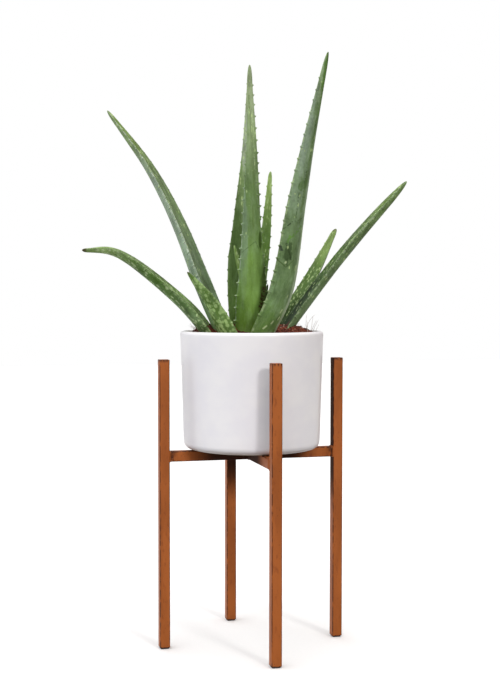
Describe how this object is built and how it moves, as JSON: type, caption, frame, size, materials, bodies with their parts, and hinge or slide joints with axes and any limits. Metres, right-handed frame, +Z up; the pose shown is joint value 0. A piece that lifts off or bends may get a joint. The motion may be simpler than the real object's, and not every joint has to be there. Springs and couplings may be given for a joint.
{
  "type": "potted aloe vera",
  "caption": "Aloe vera with long toothed leaves in a white glazed pot, standing on a brown square-tube plant stand.",
  "frame": {"origin": "on the floor, on the upright axis that the pot and the stand share", "axes": "+Z up, X and Y along the two bars under the pot; the picture looks along +Y, turned about 15 degrees to the left of it"},
  "size_m": [0.4095, 0.2346, 0.7243],
  "materials": {
    "stand_paint": "satin",
    "foot_plastic": "matte",
    "white_glaze": "satin",
    "soil": "matte",
    "stem": "matte",
    "leaf": "satin",
    "dark_leaf": "satin",
    "spotted_leaf": "satin"
  },
  "bodies": {
    "root": {"leg_left": "stand_paint", "leg_right": "stand_paint", "leg_front": "stand_paint", "leg_back": "stand_paint", "cross_bar": "stand_paint", "cross_bar_front": "stand_paint", "cross_bar_back": "stand_paint", "foot_cap_left": "foot_plastic", "foot_cap_right": "foot_plastic", "foot_cap_front": "foot_plastic", "foot_cap_back": "foot_plastic", "pot": "white_glaze", "soil": "soil", "stem": "stem", "leaf_young_left": "leaf", "leaf_young_right": "dark_leaf", "leaf_front_centre": "leaf", "leaf_tall_back": "dark_leaf", "leaf_tall_left": "leaf", "leaf_tall_right": "leaf", "leaf_short_front": "spotted_leaf", "leaf_narrow_back": "dark_leaf", "leaf_short_right": "spotted_leaf", "leaf_long_right": "leaf", "leaf_low_left": "spotted_leaf"}
  },
  "joints": []
}
